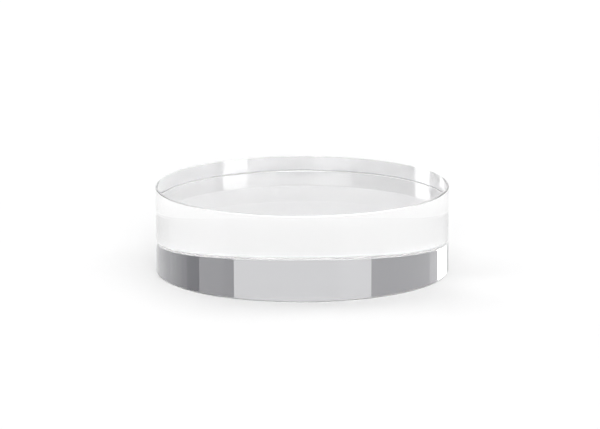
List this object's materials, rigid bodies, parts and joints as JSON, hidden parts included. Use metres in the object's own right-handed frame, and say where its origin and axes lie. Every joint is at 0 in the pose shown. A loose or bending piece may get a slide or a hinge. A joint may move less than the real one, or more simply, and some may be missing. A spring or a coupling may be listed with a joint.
{
  "type": "round display stand",
  "caption": "Solid clear acrylic disc with polished faces, a polished wall and eased rims, that raises a small model or other item for display.",
  "frame": {"origin": "centre of the base face, on the disc's axis", "axes": "+Z along the disc's axis, from the base face up to the top face; the disc is round, so +X and +Y are any two level directions"},
  "size_m": [0.1, 0.1, 0.0294],
  "materials": {
    "clear_acrylic": "polished"
  },
  "bodies": {
    "root": {"display_block": "clear_acrylic"}
  },
  "joints": []
}
